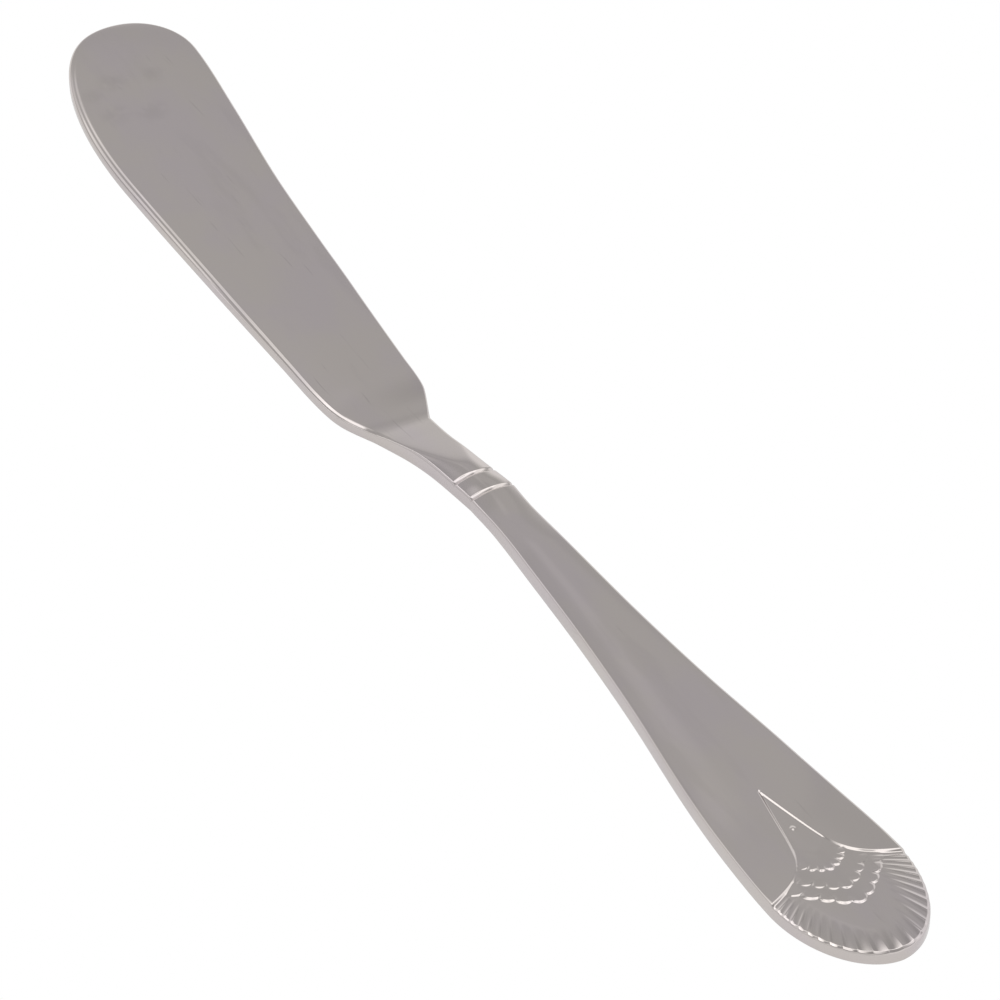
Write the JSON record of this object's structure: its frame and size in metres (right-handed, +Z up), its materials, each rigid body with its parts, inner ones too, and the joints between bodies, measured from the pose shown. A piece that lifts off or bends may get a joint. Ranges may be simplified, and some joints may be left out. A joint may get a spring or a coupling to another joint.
{
  "type": "butter knife",
  "caption": "Flat-handled butter spreader: broad round-tipped blade, notched heel, slim neck with a grooved collar and a flared handle ending in a fluted shell.",
  "frame": {"origin": "centre of the knife's length and width, on the plane of its flat back", "axes": "+X along the handle's axis from the blade's tip to the shell end, +Y towards the spine, +Z up out of the ornamented face"},
  "size_m": [0.1792, 0.0197, 0.0038],
  "materials": {
    "blade_steel": "polished stainless steel with fine rub marks",
    "handle_steel": "polished stainless steel",
    "shell_steel": "polished, coined relief in stainless steel"
  },
  "bodies": {
    "root": {"blade": "blade_steel", "neck": "handle_steel", "collar": "handle_steel", "handle": "handle_steel", "shell_end": "shell_steel"}
  },
  "joints": []
}
